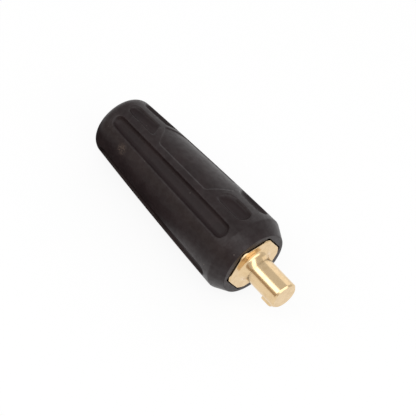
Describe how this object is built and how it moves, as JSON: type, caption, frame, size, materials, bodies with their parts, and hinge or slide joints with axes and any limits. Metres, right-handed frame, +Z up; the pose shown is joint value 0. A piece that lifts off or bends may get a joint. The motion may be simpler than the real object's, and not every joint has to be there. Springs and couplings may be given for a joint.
{
  "type": "welding cable plug",
  "caption": "Cable plug with a brass bayonet pin and hexagon in a tapered, fluted rubber sleeve, lying on its side.",
  "frame": {"origin": "on the plug's axis at the hexagon's front face, where it seats against the mating socket", "axes": "+X is along the plug, toward the pin; +Z is up with the sleeve lying astride one of its flutes, so the plug's axis rises a little toward +X; +Y is across, to the left of the pin"},
  "size_m": [0.1171, 0.039, 0.0389],
  "materials": {
    "rubber": "matte moulded rubber",
    "brass": "turned, bright",
    "steel": "plain",
    "copper": null
  },
  "bodies": {
    "root": {"sleeve": "rubber", "plug_body": "brass", "clamp_screw_front": "steel", "clamp_screw_rear": "steel", "contact_sleeve": "copper"}
  },
  "joints": []
}
